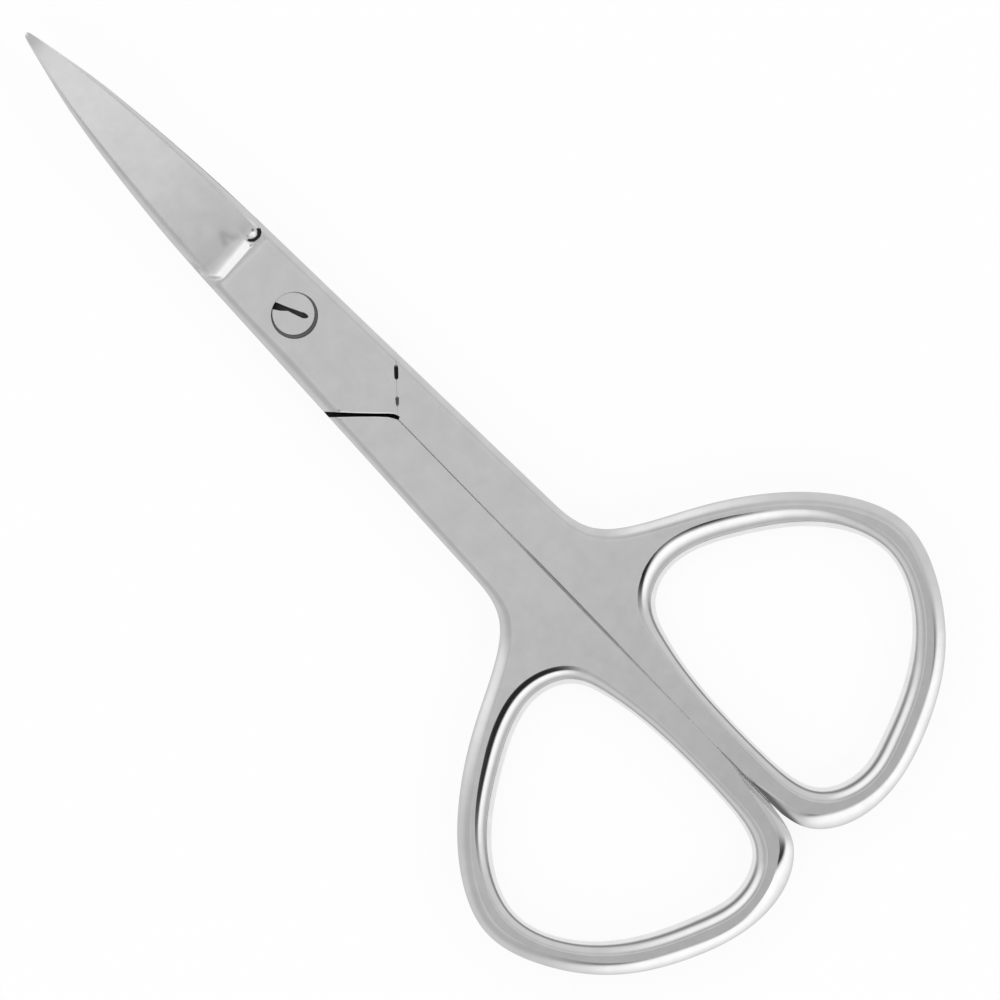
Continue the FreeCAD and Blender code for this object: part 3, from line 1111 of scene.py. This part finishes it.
def paintedShadeOfScrew(place, middle, normal, level):
    # painted shade on the rim of the head, darker on some sides than on others, and in its slot
    radius = np.hypot(place[:, 0], place[:, 1])
    top = half["thick"] - screw["headSink"]
    rimmed = (radius > shadePaint["headRadius"]) & ~level
    slotTop = top - shadePaint["surface"]
    slotted = between(middle[:, 2], slotTop - screw["slotDepth"], slotTop)
    slotted &= np.hypot(middle[:, 0], middle[:, 1]) < shadePaint["slotRadius"]
    inSlot = shadePaint["slotLeast"] + (1 - shadePaint["slotLeast"]) * levelStep(*shadePaint["slotRun"], place[:, 1])
    return np.maximum(np.where(rimmed, ringPaintedShadeAt(place), 0), np.where(slotted, inSlot, 0))


def levelCorners(mesh, place, normal, face):
    # corners of the faces that lie at one height
    start = readAll(mesh.polygons, "loop_start", 1, np.int32)
    spread = (np.maximum.reduceat(place[:, 2], start) - np.minimum.reduceat(place[:, 2], start))[face]
    upright = np.abs(normal[:, 2]) > finish["upright"]
    return (spread < finish["levelSpread"]) | ((spread < finish["nearSpread"]) & upright)


def finishOfRicasso(place):
    # 0 where the step isn't polished: beyond the slanting line at its left and round the burr at its right
    x = place[:, 0] * np.where(place[:, 2] > half["thick"] / 2, 1, -1)
    y = place[:, 1]
    left = levelStep(*finish["leftLine"], leftOfRicasso(x, y))
    left = left * (1 - levelStep(*finish["leftRim"], x) * levelStep(*finish["leftRimRun"], y))
    right = levelStep(*finish["rightLine"], x - ricasso["rightEnd"]) * levelStep(*finish["rightRim"], x)
    right = right * (1 - bump(x, y, *finish["brightSpot"]))
    dull = np.maximum(left * levelStep(*finish["leftFade"], y), right * levelStep(*finish["rightFade"], y))
    return 1 - dull * levelStep(*finish["stepRun"], y)


def darkReflectionOf(place):
    # how much the painted dark reflection darkens a place, falling off as a bell curve beside its path
    line = along(darkReflectionKnots, darkReflection["points"])
    away = np.hypot(place[:, :1] - line[:, 0], place[:, 1:2] - line[:, 1]).min(axis=1)
    return darkReflection["darkening"] * np.exp(-(away / darkReflection["halfWidth"]) ** 2)


def markFinish(mesh, corner, face, paintedShadeOf):
    # colour, roughness and painted shade of every face corner: satin flat faces, polished rims and the ground
    # blade
    place = readAll(mesh.vertices, "co", 3)[corner]
    bend = readAll(mesh.vertices, "normal", 3)[corner]
    normal = readAll(mesh.polygons, "normal", 3)[face]
    middle = readAll(mesh.polygons, "center", 3)[face]
    level = levelCorners(mesh, place, normal, face)
    y = place[:, 1]
    onBlade = levelStep(*finish["bladeRun"], y)
    depth = np.minimum(middle[:, 2], half["thick"] - middle[:, 2])
    inside = level & (depth > finish["lapDepth"]) & (middle[:, 1] < half["frontEnd"])
    bladeTilt = np.maximum(np.abs(bend[:, 0]), bend[:, 1])
    polish = np.where(level, 0, 1) * (1 - onBlade) + levelStep(*finish["bladeTilt"], bladeTilt) * onBlade
    polish = polish * finishOfRicasso(place)
    dull = np.where(inside, steel["lapRoughness"], steel["faceRoughness"])
    dull = dull + (steel["bladeRoughness"] - dull) * levelStep(*finish["satinRun"], y)
    rough = dull + (steel["rimRoughness"] - dull) * polish
    # painted light and shade: flat faces lighter than the rims and darker towards the ends of the rings
    far = 1 - steel["farPaintedShade"] * levelStep(*finish["farRun"], np.hypot(place[:, 0], y))
    shade = np.where(level, steel["paintedLightFaceColour"] * far, steel["colour"])
    # painted shade and light: the blade's ground face changes colour along Y in place of its reflection
    ground = np.interp(y, bladePaintedShade[:, 0], bladePaintedShade[:, 1])
    # a painted dark reflection on the upper face of the blade
    ground = ground - np.where(middle[:, 2] > half["thick"] / 2, darkReflectionOf(place), 0)
    shade = shade + (ground - shade) * (1 - polish) * levelStep(*finish["shadeRun"], y)
    paintedShade = paintedShadeOf(place, middle, normal, level)
    for name, values in (("shade", shade), ("roughness", rough), ("paintedShade", paintedShade)):
        mesh.attributes.new(name, "FLOAT", "CORNER").data.foreach_set("value", values)
    return level


def settleNormals(mesh, corner, face, level):
    # level faces get upright normals, and so do the corners that they share with faces of a gentle tilt;
    # steeper faces beside them take the mean of their own kind there
    own = readAll(mesh.polygons, "normal", 3)[face]
    normal = readAll(mesh.corner_normals, "vector", 3)
    upright = np.sign(own[:, 2:]) * (0, 0, 1)
    flat = np.abs(own[:, 2])
    total = len(mesh.vertices)
    beside = ~level & (np.bincount(corner[level], minlength=total)[corner] > 0)
    beside &= flat > math.cos(math.radians(finish["creaseTilt"]))
    gentle = beside & (flat > math.cos(math.radians(finish["gentleTilt"])))
    creased = beside & ~gentle
    mean = np.stack([np.bincount(corner[creased], own[creased, axis], total) for axis in range(3)], axis=1)
    mean = mean[corner[creased]]
    normal[creased] = mean / np.linalg.norm(mean, axis=1)[:, None]
    normal[level | gentle] = upright[level | gentle]
    mesh.normals_split_custom_set(normal.tolist())


def finished(thing, name, material, paintedShadeOf):
    # puts a body in metres, marks its finish and its sharp edges, and sets its normals
    mesh = thing.data
    mesh.name = name
    thing.name = name
    corner = readAll(mesh.loops, "vertex_index", 1, np.int32)
    face = np.repeat(np.arange(len(mesh.polygons)), readAll(mesh.polygons, "loop_total", 1, np.int32))
    level = markFinish(mesh, corner, face, paintedShadeOf)
    points = readAll(mesh.vertices, "co", 3)
    mesh.vertices.foreach_set("co", points.ravel() * metre)
    mesh.materials.clear()
    mesh.materials.append(material)
    mesh.update()
    mesh.shade_smooth()
    mesh.set_sharp_from_angle(angle=math.radians(finish["sharpEdge"]))
    settleNormals(mesh, corner, face, level)
    return thing


def turnedOver(thing):
    # the same body turned half round about the Y line at the split
    mesh = thing.data.copy()
    points = readAll(mesh.vertices, "co", 3) * (-1, 1, -1) + (0, 0, half["thick"])
    mesh.vertices.foreach_set("co", points.ravel())
    return shown("turned", mesh)


upperBlank = blank(0)
uncut = blank(1)
lowerBlank = turnedOver(uncut)
bpy.data.objects.remove(uncut)
print("plates cut")
upper = combined(upperBlank, [frontPiece(1)], "UNION")
lower = combined(lowerBlank, [frontPiece(-1)], "UNION")
print("blades joined")
upper = combined(upper, upperHoles(), "DIFFERENCE")
lower = combined(lower, lowerHoles(), "DIFFERENCE")
satin = steelMaterial("satinSteel")
upperHalf = finished(upper, "upperHalf", satin, paintedShadeOfHalf)
lowerHalf = finished(lower, "lowerHalf", satin, paintedShadeOfHalf)
screwPiece = finished(pivotScrew(), "pivotScrew", steelMaterial("screwSteel"), paintedShadeOfScrew)
for piece in (upperHalf, lowerHalf, screwPiece):
    print(piece.name, len(piece.data.vertices), "vertices", len(piece.data.polygons), "faces")

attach(upperHalf, "upper")
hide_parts("upper_half")
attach(lowerHalf, "lower")
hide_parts("lower_half")
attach(screwPiece, "screw")
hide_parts("pivot_screw")


# Floor and light

paper = {"reach": 2, "below": 0.01, "grey": 0.92, "roughness": 0.9, "glow": 1.08, "glowShare": 0.8}


def makeFloor():
    # a hair under the scissors, so that no two faces lie in one plane
    far, low = paper["reach"], -paper["below"] * metre
    corners = [(-far, -far, low), (far, -far, low), (far, far, low), (-far, far, low)]
    floor = meshFrom("floor", np.array(corners), [[0, 1, 2, 3]])
    material = bpy.data.materials.new("paleFloor")
    material.use_nodes = True
    tree = material.node_tree
    paint = tree.nodes["Principled BSDF"]
    paint.inputs["Base Color"].default_value = (paper["grey"],) * 3 + (1,)
    paint.inputs["Roughness"].default_value = paper["roughness"]
    path = addNode(tree, "ShaderNodeLightPath")
    seen = calc(tree, "MAXIMUM", path.outputs["Is Camera Ray"], path.outputs["Is Glossy Ray"])
    seen = calc(tree, "MAXIMUM", seen, path.outputs["Is Transmission Ray"])
    glow = addNode(tree, "ShaderNodeEmission", {0: (1, 1, 1, 1), 1: paper["glow"]})
    share = calc(tree, "MULTIPLY", seen, paper["glowShare"])
    mix = addNode(tree, "ShaderNodeMixShader", {0: share, 1: paint.outputs[0], 2: glow.outputs[0]})
    tree.links.new(mix.outputs[0], tree.nodes["Material Output"].inputs["Surface"])
    floor.data.materials.append(material)


# Brightness of the studio from straight above (0 degrees) down to the horizon and below,
# in the directions of the tips, the rings, the right and the left
studio = {
    "tips": [
        (0, 0.72), (4, 0.66), (7, 0.44), (13, 0.46), (24, 1.0), (31, 1.2),
        (48, 1.15), (60, 0.70), (70, 0.25), (80, 0.25), (88, 0.6),
    ],
    "rings": [
        (0, 0.72), (3, 0.70), (5, 0.02), (28, 0.02), (36, 1.25), (46, 1.25),
        (56, 1.0), (64, 0.70), (72, 0.56), (82, 0.62), (90, 0.75),
    ],
    "right": [(0, 0.72), (8, 0.66), (18, 0.60), (28, 0.72), (64, 0.74), (78, 0.30), (90, 0.30)],
    "left": [(0, 0.72), (8, 0.64), (14, 0.54), (28, 0.53), (44, 0.70), (64, 0.72), (78, 0.50), (90, 0.50)],
    "brightest": 1.4,
    "leftToRight": (-0.3, 0.3),         # sines of the directions between which one turns into the other
    "ringsToSides": (-0.87, -0.45),
    "sidesToTips": (0.7, 1.0),
    "leastOutward": 1e-4,
}


def brightnessRamp(tree, stops, angle):
    # colour ramp whose stops are given in degrees
    ramp = addNode(tree, "ShaderNodeValToRGB", {0: angle})
    elements = ramp.color_ramp.elements
    elements.remove(elements[1])
    for index, (degrees, value) in enumerate(stops):
        element = elements[0] if index == 0 else elements.new(degrees / 180)
        element.position = degrees / 180
        element.color = (value / studio["brightest"],) * 3 + (1,)
    return ramp.outputs["Color"]


def ramped(tree, value, low, high):
    # 0 below low, 1 above high, and a smooth rise between them
    inputs = {0: value, 1: low, 2: high, 3: 0.0, 4: 1.0}
    return addNode(tree, "ShaderNodeMapRange", inputs, interpolation_type="SMOOTHSTEP").outputs[0]


def makeWorld():
    # brightness by the angle from straight above, blended between the four directions; white to the camera
    world = bpy.data.worlds.new("studio")
    bpy.context.scene.world = world
    world.use_nodes = True
    tree = world.node_tree
    way = addNode(tree, "ShaderNodeTexCoord").outputs["Generated"]
    split = addNode(tree, "ShaderNodeSeparateXYZ", {0: way})
    x, y, z = split.outputs
    angle = calc(tree, "DIVIDE", calc(tree, "ARCCOSINE", z), math.pi)
    outward = calc(tree, "SQRT", calc(tree, "SUBTRACT", 1.0, calc(tree, "MULTIPLY", z, z)))
    outward = calc(tree, "MAXIMUM", outward, studio["leastOutward"])
    across = calc(tree, "DIVIDE", x, outward)
    toward = calc(tree, "DIVIDE", y, outward)
    ramps = {name: brightnessRamp(tree, studio[name], angle) for name in ("tips", "rings", "right", "left")}
    sides = blend(tree, ramped(tree, across, *studio["leftToRight"]), ramps["left"], ramps["right"])
    light = blend(tree, ramped(tree, toward, *studio["ringsToSides"]), ramps["rings"], sides)
    light = blend(tree, ramped(tree, toward, *studio["sidesToTips"]), light, ramps["tips"])
    seen = addNode(tree, "ShaderNodeLightPath").outputs["Is Camera Ray"]
    strength = blend(tree, seen, calc(tree, "MULTIPLY", light, studio["brightest"]), 1.0)
    tree.links.new(strength, tree.nodes["Background"].inputs["Strength"])
    tree.nodes["Background"].inputs["Color"].default_value = (1, 1, 1, 1)


makeFloor()
makeWorld()
bpy.context.scene.view_settings.view_transform = "Standard"
print("floor and light set")
